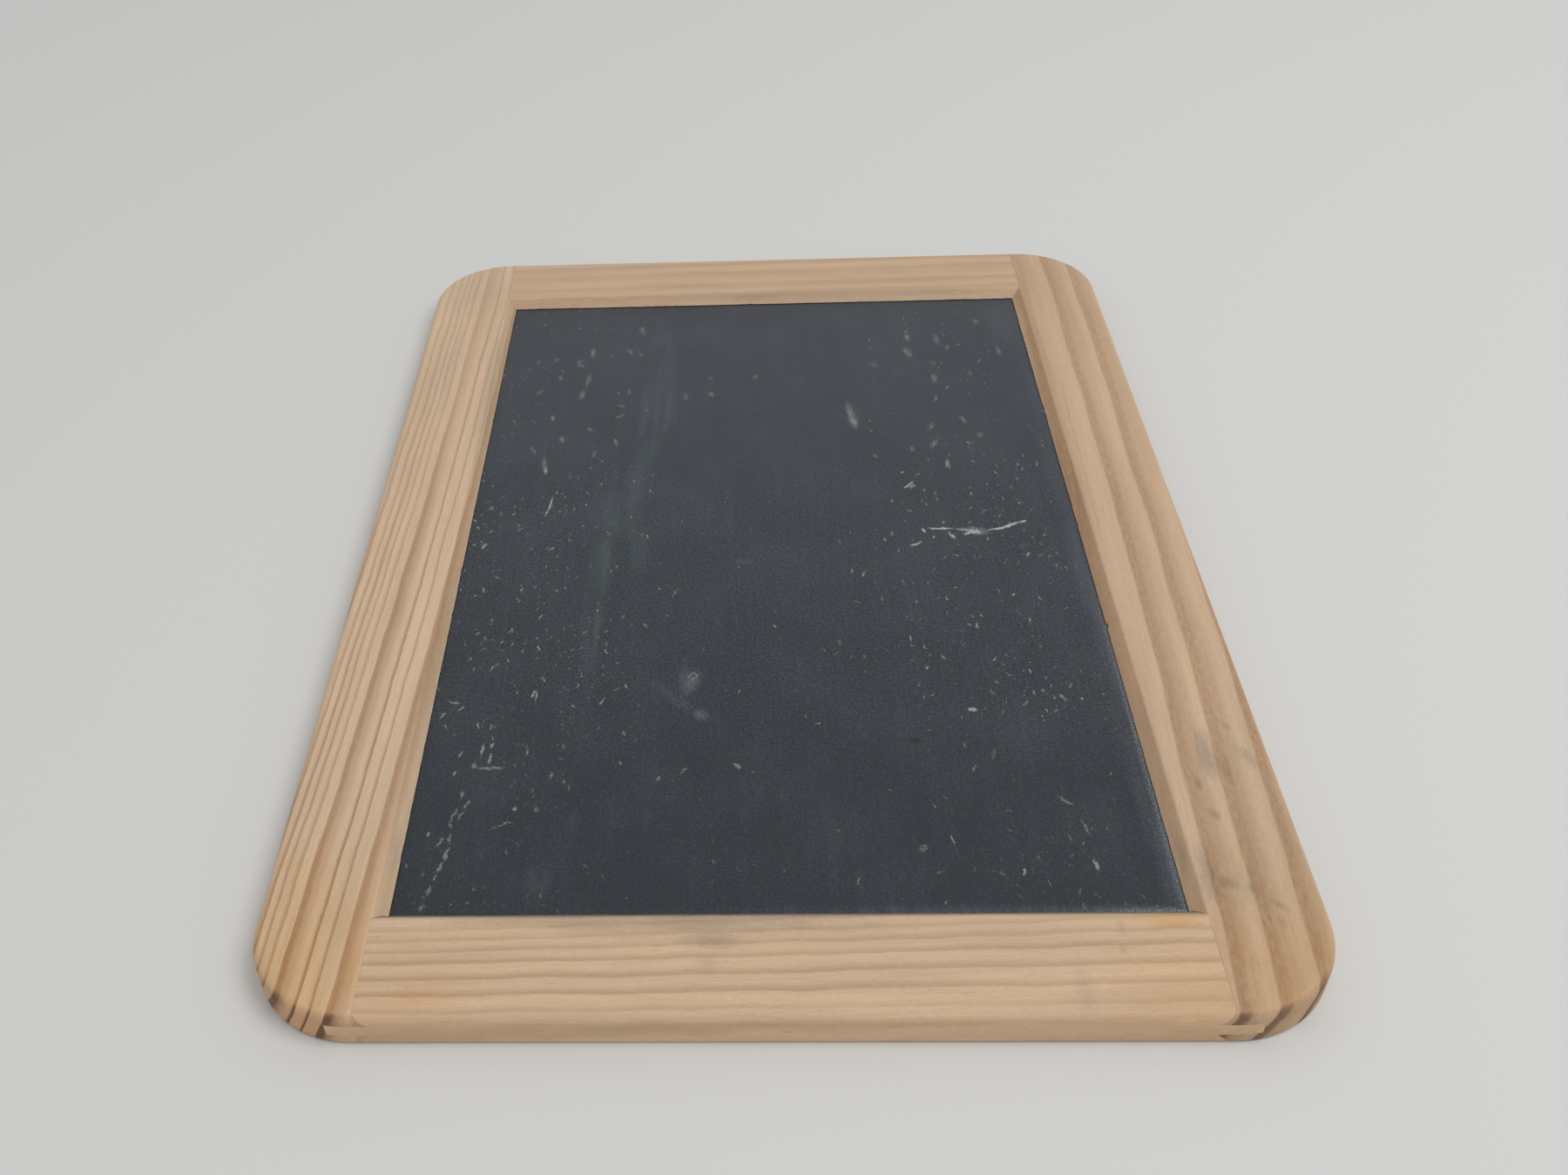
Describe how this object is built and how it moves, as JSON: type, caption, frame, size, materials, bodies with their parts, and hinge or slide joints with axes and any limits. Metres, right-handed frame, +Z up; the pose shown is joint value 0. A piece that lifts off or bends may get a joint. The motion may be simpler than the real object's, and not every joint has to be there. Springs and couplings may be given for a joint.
{
  "type": "school slate chalkboard",
  "caption": "Small double-sided chalkboard: a thin natural slate slab held in the groove of a flat pine frame with rounded corners, for writing on with chalk or slate pencil.",
  "frame": {"origin": "middle of the underside, on the surface that the board lies on", "axes": "+Z up out of the writing face, +Y along the stiles from the bottom rail to the top rail, +X across the board to the right stile"},
  "size_m": [0.18, 0.25, 0.007],
  "materials": {
    "pine": "planed and sanded bare pine, a little soiled with chalk dust",
    "slate": "honed natural slate, matt, with chalk traces"
  },
  "bodies": {
    "root": {"left_stile": "pine", "right_stile": "pine", "bottom_rail": "pine", "top_rail": "pine", "slate_panel": "slate"}
  },
  "joints": []
}
